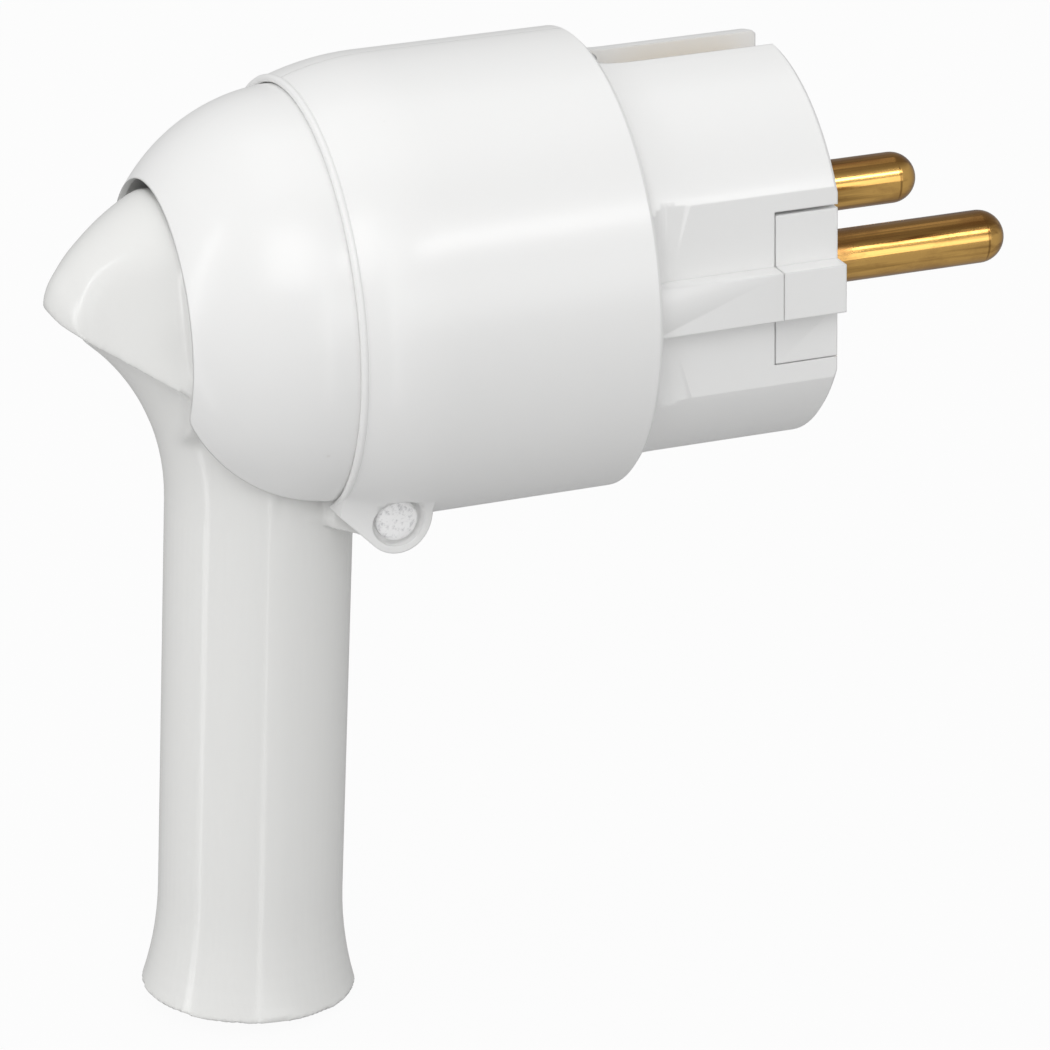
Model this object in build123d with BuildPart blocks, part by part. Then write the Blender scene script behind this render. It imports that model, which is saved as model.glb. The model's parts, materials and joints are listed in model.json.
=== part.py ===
from build123d import *
from math import asin, cos, radians, sin, sqrt, tan
import os

os.makedirs("parts", exist_ok=True)

# A two-pole earthed plug for round recessed sockets, with a pivoting handle that levers it out.
# The origin is the centre of the plug's front face, +X points along the pins and +Z is up.

# Line pins, as the socket standard fixes them
pin_diameter = 4.8
pin_length = 19.0
pin_spacing = 19.0
shank_clearance = 0.05

# Nose, the part that enters the socket
nose_diameter = 36.54
nose_length = 18.33
nose_edge = 0.3
front_wall = 4.0
side_wall = 1.7
flat_half_width = 15.99
flat_length = 15.9
key_half_width = 17.98
key_height = 4.4
flare_length = 4.4
insert_length = 5.67
flange_height = 0.85
flange_thickness = 2.0
flange_setback = 2.67
insert_wall = 1.95

# Slots for the socket's earth clips, and the strap that lies in them
slot_width = 4.64
slot_floor = 15.0
slot_length = 17.4
slot_wall = 1.4
strap_width = 3.6
strap_thickness = 0.8
strap_setback = 1.5
strap_bridge_depth = 13.6
strap_clearance = 0.1

# Earth socket for a socket outlet that has an earth pin
earth_hole_diameter = 5.0
earth_hole_height = 10.0
earth_sleeve_wall = 0.7
earth_sleeve_clearance = 0.1
earth_lip = 0.6
strap_eye_diameter = 6.8

# Terminals
terminal_width = 4.8
terminal_height = 6.8
terminal_length = 9.65
terminal_edge = 0.3
wire_hole_diameter = 3.0
wire_hole_depth = 7.0
terminal_screw_diameter = 2.6
terminal_screw_head = 4.2
terminal_screw_depth = 3.4
terminal_screw_head_height = 1.8
earth_block_height = 6.0
earth_block_low = -10.5
earth_block_length = 6.4
earth_block_margin = 0.6
terminal_screw_setback = 3.2
retainer_thickness = 2.1
retainer_half_width = 12.0
retainer_top = 6.5
retainer_bottom = -12.2
post_diameter = 4.8
post_side = 6.5
post_height = -9.5
small_screw_diameter = 2.2
small_screw_head = 4.0
small_screw_head_height = 1.4
small_screw_length = 8.0
screw_clearance = 0.2
driver_slot = 0.7

# Collar, two half shells that meet just past the top
collar_diameter = 41.42
collar_length = 26.94
collar_wall = 1.86
collar_fit = 0.1
collar_edge = 0.35
shoulder_length = 8.4
rear_lip_drop = 1.46
rear_lip_edge = 0.4
seam_side = 2.2
seam_gap = 0.06
boss_diameter = 5.2
boss_setback = 13.67
boss_inset = 5.71
closing_screw_diameter = 2.6
closing_screw_head = 4.6
closing_screw_head_height = 2.0
closing_screw_sink = 5.28
closing_screw_length = 14.0

# Dome behind the collar: part of an ellipsoid, with a skirt that runs forward into the collar
dome_axial = 17.85
dome_fit = 0.12
dome_centre_inset = 0.87
dome_wall = 1.7
dome_opening_diameter = 23.86
dome_slot_width = 19.9
dome_slot_corner = 2.5
dome_skirt_length = 10.27
dome_flange_thickness = 2.0
dome_relief_length = 2.7
dome_relief_depth = 1.22

# Hinge of the handle
hinge_inset = 5.31
hinge_depth = 2.71
hinge_pin_diameter = 3.8
hinge_pin_chamfer = 0.3
hinge_running_clearance = 0.05
lug_radius = 3.05
lug_outer = 11.5
lug_inner = 8.7
lug_blend_radius = 6.0
lug_blend_overlap = 0.06
lug_wedge_rise = 1.1
lug_wedge_angle = 45.0
lug_root_height = 6.0
lug_inner_boss = 1.1
lug_recess_diameter = 4.75
lug_recess_depth = 0.9
knuckle_clearance = 0.35
knuckle_wall = 1.2
notch_length = 9.67
cheek_height = 6.0
cheek_slope = 45.0

# Handle
handle_tilt = 3.4
handle_setback = 7.95
handle_diameter = 16.83
handle_end = 65.57
handle_bore = 12.8
cord_turn = 2.0
window_top = -2.0
window_bottom = -13.0
window_half_width = 5.0
window_corner = 2.0
bell_diameter = 19.6
bell_length = 9.5
bell_wall = 1.2

# Neck of the handle, which grows rearwards along an arc
throat_radius = 20.6
throat_start = -18.8
throat_end_angle = 62.0
neck_half_width = 9.2
neck_steps = 5

# Head and beak of the handle. Reaches are measured rearwards from the dome's centre
head_radius = 11.2
head_height = -0.4
head_reach = 13.1
head_thickness = 2.5
beak_side_clearance = 0.5
beak_axis_height = 0.4
beak_tip_reach = 23.25
beak_tip_radius = 2.5
beak_tip_height = 2.0
beak_tip_round = 0.8
beak_middle_reach = 18.56
beak_middle_radius = 7.65
beak_root_radius = 10.85
beak_underside_height = 1.36
beak_underside_slope = 31.4
beak_root_side = 10.7
scoop_reach = 19.45
scoop_side = 5.6
scoop_slope = 0.33
scoop_turn = 0.3
scoop_flare = 1.0
scoop_draft = 13.0
ridge_sharpness = 10
section_steps = 7
core_half_width = 4.4
core_low = 1.0
core_high = 7.0
core_depth = 7.0
core_corner = 1.0

# Fingers of the handle and the ejector that they push
finger_side = 6.0
finger_width = 2.4
finger_low = 7.8
finger_high = 11.4
finger_root_reach = 5.6
finger_clearance = 0.3
finger_edge = 1.2
rib_depth = 4.0
rib_rear_height = 7.2
pad_length = 5.9
pad_half_height = 6.86
pad_inner = 12.2
pad_clearance = 0.1
pad_top_gap = 0.32
arm_thickness = 1.6
arm_inner = 12.3
arm_half_height = 4.0
crossbar_rear = 30.5
crossbar_thickness = 1.8
crossbar_top = 11.4

# Cord clamp under the shelf at the nose's rear
shelf_top = -4.7
shelf_thickness = 1.8
shelf_half_width = 9.6
shelf_length = 6.0
shelf_gap = 0.6
clamp_width = 4.0
clamp_low = -13.2
clamp_arch_radius = 3.5
clamp_screw_side = 7.2
clamp_screw_diameter = 2.4
clamp_screw_head = 4.2
clamp_screw_head_height = 1.6

# Sizes that follow from the ones above
pin_radius = pin_diameter / 2
shank_hole = pin_diameter + 2 * shank_clearance
nose_radius = nose_diameter / 2
nose_rear = nose_length + insert_length
shelf_root = nose_rear - strap_bridge_depth - earth_block_length - shelf_gap
flange_front = nose_length + flange_setback
collar_radius = collar_diameter / 2
collar_inner = collar_radius - collar_wall
insert_radius = collar_inner - collar_fit
flange_radius = insert_radius + flange_height
collar_rear = nose_length + collar_length
shoulder_start = collar_rear - shoulder_length
dome_opening = dome_opening_diameter / 2
handle_radius = handle_diameter / 2
rear_lip_radius = collar_radius - rear_lip_drop
boss_height = collar_radius - boss_inset
closing_screw_side = sqrt(collar_radius**2 - boss_height**2) - closing_screw_sink
dome_radial = collar_inner - dome_fit
dome_centre = -collar_rear + dome_centre_inset
dome_front = -collar_rear + dome_skirt_length
hinge_x = -collar_rear + hinge_inset
hinge_z = -collar_radius + hinge_depth
handle_axis_x = hinge_x - handle_setback
head_rear = dome_centre - head_reach
head_front = head_rear + head_thickness
beak_tip_x = dome_centre - beak_tip_reach
beak_middle_x = dome_centre - beak_middle_reach
finger_root = dome_centre - finger_root_reach
earth_sleeve_outer = earth_hole_diameter / 2 + earth_sleeve_wall
terminal_rear = front_wall + terminal_length
boss_x = -(nose_length + boss_setback)
clamp_x = nose_rear + shelf_length / 2
terminal_screw_x = front_wall + terminal_length - terminal_screw_setback
knuckle_half_width = lug_inner - knuckle_clearance
knuckle_radius = hinge_pin_diameter / 2 + knuckle_wall
finger_tip = -crossbar_rear - finger_clearance
earth_block_middle = earth_block_low + earth_block_height / 2
earth_screw_x = -strap_bridge_depth - earth_block_length + terminal_screw_head / 2


def slot_blocks(depth_in, depth_out, width):
    """Two rectangles on the nose's section, one at each earth slot, between two radii."""
    middle = (depth_in + depth_out) / 2
    with Locations((0, middle), (0, -middle)):
        Rectangle(width, depth_out - depth_in, mode=Mode.SUBTRACT)


# The nose is one moulding: a front wall, a hollow body with flats and keys, and a flange behind
flare_start = nose_length - flare_length
flange_rear = flange_front + flange_thickness
run_out = nose_radius - flat_half_width
with BuildPart() as nose:
    with BuildSketch(Plane.XZ):
        with BuildLine():
            Polyline(
                (-nose_length, insert_radius),
                (-flange_front, insert_radius),
                (-flange_front, flange_radius),
                (-flange_rear, flange_radius),
                (-flange_rear, insert_radius),
                (-nose_rear, insert_radius),
                (-nose_rear, 0),
                (0, 0),
                (0, nose_radius - nose_edge),
                (-nose_edge, nose_radius),
                (-flare_start, nose_radius),
            )
            TangentArc((-flare_start, nose_radius), (-nose_length, insert_radius), tangent=(-1, 0))
        make_face()
    revolve(axis=Axis.X)
    # A flat on each side ends in a round run-out at the collar
    with BuildSketch(Plane.XY):
        with BuildLine():
            Polyline(
                (-flat_length - run_out, nose_radius),
                (-flat_length - run_out, collar_radius),
                (nose_edge, collar_radius),
                (nose_edge, flat_half_width),
                (-flat_length, flat_half_width),
            )
            TangentArc(
                (-flat_length, flat_half_width),
                (-flat_length - run_out, nose_radius),
                tangent=(-1, 0),
            )
        make_face()
        mirror(about=Plane.XZ)
    extrude(amount=collar_radius, both=True, mode=Mode.SUBTRACT)
    # A key runs along the middle of each flat
    with Locations((-nose_length / 2, 0, 0)):
        Box(nose_length, 2 * key_half_width, key_height)
    # The hollow behind the front wall leaves the walls of the earth slots standing
    with BuildSketch(Plane.YZ.offset(-front_wall)):
        Circle(nose_radius - insert_wall)
        Rectangle(2 * (flat_half_width - side_wall), 2 * nose_radius, mode=Mode.INTERSECT)
        slot_blocks(slot_floor - slot_wall, nose_radius, slot_width + 2 * slot_wall)
    extrude(amount=-(nose_length - front_wall), mode=Mode.SUBTRACT)
    with BuildSketch(Plane.YZ.offset(-nose_length)):
        Circle(insert_radius - insert_wall)
    extrude(amount=-insert_length, mode=Mode.SUBTRACT)
    # Earth slots in the top and the bottom, with a window for the strap at the foot of each
    for side in (1, -1):
        with Locations((-slot_length / 2, 0, side * (slot_floor + nose_radius) / 2)):
            Box(slot_length, slot_width, nose_radius - slot_floor + nose_edge, mode=Mode.SUBTRACT)
        with Locations((-strap_bridge_depth + strap_thickness / 2, 0, side * slot_floor)):
            Box(
                strap_thickness + 2 * strap_clearance,
                strap_width + 2 * strap_clearance,
                4 * slot_wall,
                mode=Mode.SUBTRACT,
            )
    # Bores for the pins and the earth socket
    with BuildSketch(Plane.YZ):
        with Locations((pin_spacing / 2, 0), (-pin_spacing / 2, 0)):
            Rectangle(shank_hole, shank_hole)
        with Locations((0, earth_hole_height)):
            Circle(earth_hole_diameter / 2)
    extrude(amount=-front_wall, mode=Mode.SUBTRACT)
    with BuildSketch(Plane.YZ.offset(-earth_lip)):
        with Locations((0, earth_hole_height)):
            Circle(earth_sleeve_outer + earth_sleeve_clearance)
    extrude(amount=earth_lip - front_wall, mode=Mode.SUBTRACT)
    # Pockets for the ejector's pads, and a window behind each for its arm
    for side in (1, -1):
        with Locations((
            -(pad_length + pad_clearance) / 2,
            side * (pad_inner - pad_clearance + nose_radius) / 2,
            (pad_top_gap - pad_clearance) / 2,
        )):
            Box(
                pad_length + pad_clearance,
                nose_radius - pad_inner + pad_clearance,
                2 * pad_half_height + pad_top_gap + pad_clearance,
                mode=Mode.SUBTRACT,
            )
        with Locations((-pad_length, side * (arm_inner + arm_thickness / 2), 0)):
            Box(
                pad_length,
                arm_thickness + 2 * pad_clearance,
                2 * (arm_half_height + pad_clearance),
                mode=Mode.SUBTRACT,
            )
    # Posts that the terminal retainer is screwed to
    with BuildSketch(Plane.YZ.offset(-front_wall)):
        with Locations((post_side, post_height), (-post_side, post_height)):
            Circle(post_diameter / 2)
    extrude(amount=-terminal_length)
    with BuildSketch(Plane.YZ.offset(-terminal_rear)):
        with Locations((post_side, post_height), (-post_side, post_height)):
            Circle(small_screw_diameter / 2)
    extrude(amount=small_screw_length, mode=Mode.SUBTRACT)
    # Shelf across the rear that the cord is clamped against
    with Locations((-nose_rear - (shelf_length - shelf_root) / 2, 0, shelf_top - shelf_thickness / 2)):
        Box(shelf_length + shelf_root, 2 * shelf_half_width, shelf_thickness)
    with Locations((-nose_rear + shelf_root / 2, 0, shelf_top - shelf_thickness / 2)):
        Box(shelf_root, 2 * (insert_radius - insert_wall), shelf_thickness)
    with BuildSketch(Plane.XY.offset(shelf_top)):
        with Locations((-clamp_x, clamp_screw_side), (-clamp_x, -clamp_screw_side)):
            Circle(clamp_screw_diameter / 2)
    extrude(amount=-shelf_thickness, mode=Mode.SUBTRACT)
nose.part.label = "nose"
export_step(nose.part, "parts/nose.step")

# Line pins: round-ended brass pins, each turned and milled from one bar with its terminal
for name, side in (("line_pin_right", -1), ("line_pin_left", 1)):
    pin_y = side * pin_spacing / 2
    with BuildPart() as line_pin:
        with BuildSketch(Plane.YZ.offset(-front_wall)):
            with Locations((pin_y, 0)):
                Circle(pin_radius)
        extrude(amount=front_wall + pin_length - pin_radius)
        with BuildSketch(Plane.YZ.offset(-front_wall)):
            with Locations((pin_y, 0)):
                Rectangle(pin_diameter, pin_diameter)
        extrude(amount=front_wall)
        with Locations((pin_length - pin_radius, pin_y, 0)):
            Sphere(pin_radius)
        with Locations((-front_wall - terminal_length / 2, pin_y, 0)):
            Box(terminal_length, terminal_width, terminal_height)
        chamfer(line_pin.faces().sort_by(Axis.X)[0].edges(), terminal_edge)
        with BuildSketch(Plane.YZ.offset(-terminal_rear)):
            with Locations((pin_y, 0)):
                Circle(wire_hole_diameter / 2)
        extrude(amount=wire_hole_depth, mode=Mode.SUBTRACT)
        with BuildSketch(Plane.XY.offset(terminal_height / 2)):
            with Locations((-terminal_screw_x, pin_y)):
                Circle(terminal_screw_diameter / 2)
        extrude(amount=-terminal_height / 2, mode=Mode.SUBTRACT)
    line_pin.part.label = name
    export_step(line_pin.part, f"parts/{name}.step")

# Earth strap: one bent strip, with a bowed contact in each slot and a bridge between the pins
strap_front = -strap_setback
strap_rear = -strap_bridge_depth
strap_outer = slot_floor + strap_clearance + strap_thickness
with BuildPart() as earth_strap:
    with BuildSketch(Plane.XZ):
        with BuildLine():
            upper = Polyline(
                (strap_rear, 0),
                (strap_rear, strap_outer),
                (strap_front, strap_outer),
                (strap_front, strap_outer - strap_thickness),
                (strap_rear + strap_thickness, strap_outer - strap_thickness),
                (strap_rear + strap_thickness, 0),
            )
            Line(upper @ 1, upper @ 0)
        make_face()
        mirror(about=Plane.XY)
    extrude(amount=strap_width / 2, both=True)
    with BuildSketch(Plane.YZ.offset(strap_rear)):
        with Locations((0, earth_hole_height)):
            Circle(strap_eye_diameter / 2)
    extrude(amount=strap_thickness)
    with BuildSketch(Plane.YZ.offset(strap_rear)):
        with Locations((0, earth_hole_height)):
            Circle(earth_hole_diameter / 2)
    extrude(amount=strap_thickness, mode=Mode.SUBTRACT)
    outer_bends = earth_strap.edges().filter_by(Axis.Y).group_by(Axis.X)[0]
    fillet(outer_bends, strap_thickness * 0.9)
earth_strap.part.label = "earth_strap"
export_step(earth_strap.part, "parts/earth_strap.step")

# Earth sleeve: the tube that a socket's earth pin enters, seated on the strap
with BuildPart() as earth_sleeve:
    with BuildSketch(Plane.YZ.offset(-earth_lip - earth_sleeve_clearance)):
        with Locations((0, earth_hole_height)):
            Circle(earth_sleeve_outer)
            Circle(earth_hole_diameter / 2, mode=Mode.SUBTRACT)
    extrude(amount=-(strap_bridge_depth - strap_thickness - earth_lip - earth_sleeve_clearance))
earth_sleeve.part.label = "earth_sleeve"
export_step(earth_sleeve.part, "parts/earth_sleeve.step")

# The top of the beak follows one arc through its root, middle and tip, seen from the side
top_arc = ThreePointArc(
    (head_rear, beak_root_radius), (beak_middle_x, beak_middle_radius), (beak_tip_x, beak_tip_radius)
)


def top_radius(x):
    """Radius of the beak's top about the beak's axis, at a place along it."""
    centre = top_arc.arc_center
    return centre.Y + sqrt(top_arc.radius**2 - (x - centre.X) ** 2)


def scoop_plan(x):
    """Half width between the scoops, at the height of the frame's origin: a bend that flares at the head."""
    along = scoop_slope * (x - dome_centre + scoop_reach)
    into = max(0, x - head_rear + scoop_flare)
    return scoop_side + along + sqrt(along**2 + scoop_turn**2) + scoop_flare - sqrt(scoop_flare**2 - into**2)


def beak_outline(x):
    """Points of a section, from the underside's edge up to the top, on one side."""
    lean = tan(radians(scoop_draft))
    low = beak_underside_height - (x - beak_tip_x) * tan(radians(beak_underside_slope))
    side = beak_root_side * sqrt((x - beak_tip_x) / (head_rear - beak_tip_x))
    centre = max(beak_axis_height, low)
    height = beak_axis_height + top_radius(x) - centre
    start = -asin((centre - low) / height)
    blunt = 1 - min(1, (x - beak_tip_x) / beak_tip_round)
    points = []
    for step in range(section_steps + 1):
        turn = start + (radians(90) - start) * step / section_steps
        z = centre + height * sin(turn)
        flank = scoop_plan(x) - z * lean
        y = side * cos(max(0, turn))
        y = y * flank / (y**ridge_sharpness + flank**ridge_sharpness) ** (1 / ridge_sharpness)
        points.append((y, beak_tip_height + (z - beak_tip_height) * sqrt(1 - blunt**2)))
    return points


# Beak: a loft of sections, round on top and scooped on both sides, with soft ridges in between
with BuildPart() as beak:
    beak_length = head_rear - beak_tip_x
    tip_stations = [beak_tip_x + beak_tip_round * part for part in (0.04, 0.15, 0.35, 0.65, 1, 1.6)]
    body_length = beak_length - scoop_flare
    body_stations = [beak_tip_x + body_length * part for part in (0.25, 0.4, 0.55, 0.7, 0.85, 1)]
    flare_stations = [head_rear - scoop_flare * part for part in (0.5, 0.2, 0)]
    for x in tip_stations + body_stations + flare_stations:
        half = beak_outline(x)
        with BuildSketch(Plane.YZ.offset(x)):
            with BuildLine():
                Spline(half + [(-y, z) for y, z in half[-2::-1]])
                Line((-half[0][0], half[0][1]), half[0])
            make_face()
    loft()
    # It stays inside the dome's opening
    with Locations((beak_middle_x, 0, 0)):
        beak_limit = dome_opening - beak_side_clearance
        Cylinder(beak_limit, 2 * beak_tip_reach, rotation=(0, 90, 0), mode=Mode.INTERSECT)

bell_start = -handle_end + bell_length
bell_flare = bell_diameter / 2 - handle_radius
neck_top = throat_start + throat_radius * sin(radians(throat_end_angle))
tilt = radians(handle_tilt)
handle_up = (sin(tilt), 0, cos(tilt))
handle_side = Plane(origin=(handle_axis_x, 0, 0), x_dir=(cos(tilt), 0, -sin(tilt)), z_dir=(0, -1, 0))


def handle_plane(height):
    """A plane across the handle's leaning axis, at a height along it."""
    origin = (handle_axis_x + height * handle_up[0], 0, height * handle_up[2])
    return Plane(origin=origin, x_dir=(cos(tilt), 0, -sin(tilt)), z_dir=handle_up)


with BuildPart() as lever:
    with BuildSketch(handle_side):
        with BuildLine():
            Polyline(
                (handle_radius, bell_start),
                (handle_radius, throat_start),
                (0, throat_start),
                (0, -handle_end),
                (handle_radius + bell_flare, -handle_end),
            )
            TangentArc(
                (handle_radius, bell_start),
                (handle_radius + bell_flare, -handle_end),
                tangent=(0, -1),
            )
        make_face()
    revolve(axis=Axis(handle_side.origin, handle_up))
    # The neck grows rearwards along the arc of the throat
    for step in range(neck_steps + 1):
        angle = radians(throat_end_angle * step / neck_steps)
        reach = handle_radius + throat_radius * (1 - cos(angle))
        level = throat_start + throat_radius * sin(angle)
        half_width = handle_radius + (neck_half_width - handle_radius) * step / neck_steps
        with BuildSketch(handle_plane(level)):
            with BuildLine():
                EllipticalCenterArc((0, 0), reach, half_width, 90, arc_size=180)
                EllipticalCenterArc((0, 0), handle_radius, half_width, -90, arc_size=180)
            make_face()
    loft()
    add(beak.part)
    # Head that fills the dome's opening
    with BuildSketch(Plane.YZ.offset(head_rear)):
        with Locations((0, head_height)):
            Circle(head_radius)
    extrude(amount=head_front - head_rear)
    # Knuckle on the hinge pin, with cheeks up to the neck
    with BuildSketch(Plane.XZ):
        with Locations((hinge_x, hinge_z)):
            Circle(knuckle_radius)
        with BuildLine():
            Polyline(
                (hinge_x + knuckle_radius, hinge_z),
                (hinge_x + knuckle_radius, hinge_z + cheek_height),
                (handle_axis_x, hinge_z + cheek_height),
                (handle_axis_x, hinge_z),
                (
                    hinge_x - knuckle_radius * sin(radians(cheek_slope)),
                    hinge_z - knuckle_radius * cos(radians(cheek_slope)),
                ),
                close=True,
            )
        make_face()
    extrude(amount=knuckle_half_width, both=True)
    # Two fingers run forward from the head, each on a rib that stands on the neck
    for side in (1, -1):
        with BuildSketch(Plane.XZ.offset(side * finger_side - finger_width / 2)):
            with BuildLine():
                Polyline(
                    (head_rear, neck_top - rib_depth),
                    (head_rear, rib_rear_height),
                    (head_front, rib_rear_height),
                    (finger_root, finger_high),
                    (finger_tip, finger_high),
                    (finger_tip, finger_low),
                    (finger_root, finger_low),
                    (finger_root, neck_top - rib_depth),
                    close=True,
                )
            make_face()
            fillet(vertices().sort_by(Axis.X).group_by(Axis.X)[-1], finger_edge)
        extrude(amount=finger_width)
    # Bore for the hinge pin
    with BuildSketch(Plane.XZ):
        with Locations((hinge_x, hinge_z)):
            Circle(hinge_pin_diameter / 2 + hinge_running_clearance)
    extrude(amount=collar_radius, both=True, mode=Mode.SUBTRACT)
    # Cord passage: up the handle, then out through a window that faces the nose
    with BuildSketch(handle_side):
        with BuildLine():
            bore_radius = handle_bore / 2
            Polyline(
                (bore_radius, bell_start),
                (bore_radius, cord_turn),
                (0, cord_turn),
                (0, -handle_end),
                (bell_diameter / 2 - bell_wall, -handle_end),
            )
            TangentArc(
                (bore_radius, bell_start),
                (bell_diameter / 2 - bell_wall, -handle_end),
                tangent=(0, -1),
            )
        make_face()
    revolve(axis=Axis(handle_side.origin, handle_up), mode=Mode.SUBTRACT)
    with BuildSketch(Plane.YZ.offset(handle_axis_x)):
        with Locations((0, (window_top + window_bottom) / 2)):
            RectangleRounded(2 * window_half_width, window_top - window_bottom, window_corner)
    extrude(amount=handle_diameter, mode=Mode.SUBTRACT)
    # The beak is cored from the front
    with BuildSketch(Plane.YZ.offset(head_front)):
        with Locations((0, (core_low + core_high) / 2)):
            RectangleRounded(2 * core_half_width, core_high - core_low, core_corner)
    extrude(amount=-core_depth, mode=Mode.SUBTRACT)
lever.part.label = "lever"
export_step(lever.part, "parts/lever.step")

# Hinge pin: a plain steel pin through the collar's lugs and the lever's knuckle
with BuildPart() as hinge_pin:
    with Locations((hinge_x, 0, hinge_z)):
        Cylinder(hinge_pin_diameter / 2, 2 * lug_outer, rotation=(90, 0, 0))
    chamfer(hinge_pin.edges().filter_by(GeomType.CIRCLE), hinge_pin_chamfer)
hinge_pin.part.label = "hinge_pin"
export_step(hinge_pin.part, "parts/hinge_pin.step")

# Closing bosses: two bars across the collar, trimmed to its inside
with BuildPart() as closing_bosses:
    with BuildSketch(Plane.XZ):
        with Locations((boss_x, boss_height), (boss_x, -boss_height)):
            Circle(boss_diameter / 2)
    extrude(amount=collar_radius, both=True)
    with Locations((boss_x, 0, 0)):
        Cylinder(collar_inner + collar_fit, 2 * boss_diameter, rotation=(0, 90, 0), mode=Mode.INTERSECT)

# Lugs for the hinge pin: a round end and a wedge to the rear lip, blended sideways into the collar
wedge_z = hinge_z + lug_wedge_rise
blend_side = lug_outer + lug_blend_radius
shoulder_radius = (shoulder_length**2 + rear_lip_drop**2) / (2 * rear_lip_drop)
with BuildPart() as lug_blends:
    for part in (0, 1 / 3, 2 / 3, 1):
        along = shoulder_length * part
        local_radius = collar_radius - shoulder_radius + sqrt(shoulder_radius**2 - along**2)
        blend_z = -sqrt((local_radius - lug_blend_overlap + lug_blend_radius) ** 2 - blend_side**2)
        with BuildSketch(Plane.YZ.offset(-shoulder_start - along)):
            with BuildLine():
                Polyline(
                    (lug_outer, blend_z),
                    (lug_outer, -2 * collar_radius),
                    (collar_radius, -2 * collar_radius),
                    (collar_radius, blend_z + lug_blend_radius),
                    (blend_side, blend_z + lug_blend_radius),
                )
                RadiusArc((blend_side, blend_z + lug_blend_radius), (lug_outer, blend_z), -lug_blend_radius)
            make_face()
    loft()
blend_reach = blend_side * rear_lip_radius / (rear_lip_radius + lug_blend_radius)
with BuildPart() as lugs:
    with BuildSketch(Plane.XZ.offset(-lug_inner)):
        with Locations((hinge_x, hinge_z)):
            Circle(lug_radius)
        with BuildLine():
            Polyline(
                (hinge_x + lug_radius, hinge_z),
                (hinge_x + lug_radius, hinge_z + lug_root_height),
                (-collar_rear, hinge_z + lug_root_height),
                (-collar_rear, wedge_z),
                (
                    hinge_x - lug_radius * sin(radians(lug_wedge_angle)),
                    hinge_z - lug_radius * cos(radians(lug_wedge_angle)),
                ),
                close=True,
            )
        make_face()
    extrude(amount=-(blend_reach - lug_inner))
    add(lug_blends.part, mode=Mode.SUBTRACT)
    mirror(about=Plane.XZ)

# Collar as one body: outline, inner bore with two grooves, lugs, notch and screw bosses
with BuildPart() as collar:
    with BuildSketch(Plane.XZ):
        with BuildLine():
            Polyline(
                (-shoulder_start, collar_radius),
                (-nose_length - collar_edge, collar_radius),
                (-nose_length, collar_radius - collar_edge),
                (-nose_length, insert_radius + collar_fit),
                (-nose_length, 0),
                (-collar_rear, 0),
                (-collar_rear, rear_lip_radius),
            )
            TangentArc(
                (-shoulder_start, collar_radius),
                (-collar_rear, rear_lip_radius),
                tangent=(-1, 0),
            )
        make_face()
        lip = vertices().sort_by(Axis.X).group_by(Axis.X)[0].sort_by(Axis.Y)[-1]
        fillet(lip, rear_lip_edge)
    revolve(axis=Axis.X)
    add(lugs.part)
    # Bore, with a groove for the nose's flange and one for the dome's
    with BuildSketch(Plane.XZ):
        with BuildLine():
            Polyline(
                (-nose_length, 0),
                (-nose_length, collar_inner),
                (-flange_front + collar_fit, collar_inner),
                (-flange_front + collar_fit, flange_radius + collar_fit),
                (-flange_rear - collar_fit, flange_radius + collar_fit),
                (-flange_rear - collar_fit, collar_inner),
                (dome_front + collar_fit, collar_inner),
                (dome_front + collar_fit, flange_radius + collar_fit),
                (dome_front - dome_flange_thickness - collar_fit, flange_radius + collar_fit),
                (dome_front - dome_flange_thickness - collar_fit, collar_inner),
                (-collar_rear, collar_inner),
                (-collar_rear, 0),
                close=True,
            )
        make_face()
    revolve(axis=Axis.X, mode=Mode.SUBTRACT)
    # Inner bosses keep the lugs whole where the bore would open their holes
    for side in (1, -1):
        with BuildSketch(Plane.XZ.offset(-side * lug_inner)):
            with Locations((hinge_x, hinge_z)):
                Circle(lug_radius)
        extrude(amount=-side * lug_inner_boss)
    # The notch lets the lever's knuckle through
    with Locations((notch_length / 2 - collar_rear, 0, -collar_radius)):
        Box(notch_length, 2 * lug_inner, collar_radius, mode=Mode.SUBTRACT)
    # Bosses across the bore for the closing screws, kept inside the wall
    add(closing_bosses.part)
    # Holes for the hinge pin, with a recess round each of its ends
    with BuildSketch(Plane.XZ):
        with Locations((hinge_x, hinge_z)):
            Circle(hinge_pin_diameter / 2)
    extrude(amount=collar_radius, both=True, mode=Mode.SUBTRACT)
    for side in (1, -1):
        with BuildSketch(Plane.XZ.offset(-side * (lug_outer - lug_recess_depth))):
            with Locations((hinge_x, hinge_z)):
                Circle(lug_recess_diameter / 2)
        extrude(amount=-side * lug_outer, mode=Mode.SUBTRACT)
    # Holes for the closing screws: heads sunk from the left, threads in the right shell
    for height in (boss_height, -boss_height):
        with BuildSketch(Plane.XZ.offset(-closing_screw_side)):
            with Locations((boss_x, height)):
                Circle((closing_screw_head + screw_clearance) / 2)
        extrude(amount=-collar_radius, mode=Mode.SUBTRACT)
        with BuildSketch(Plane.XZ.offset(-closing_screw_side)):
            with Locations((boss_x, height)):
                Circle((closing_screw_diameter + screw_clearance) / 2)
        extrude(amount=closing_screw_side - seam_side, mode=Mode.SUBTRACT)
        with BuildSketch(Plane.XZ.offset(-seam_side)):
            with Locations((boss_x, height)):
                Circle(closing_screw_diameter / 2)
        thread_depth = closing_screw_length - closing_screw_side + seam_side + screw_clearance
        extrude(amount=thread_depth, mode=Mode.SUBTRACT)

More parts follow.
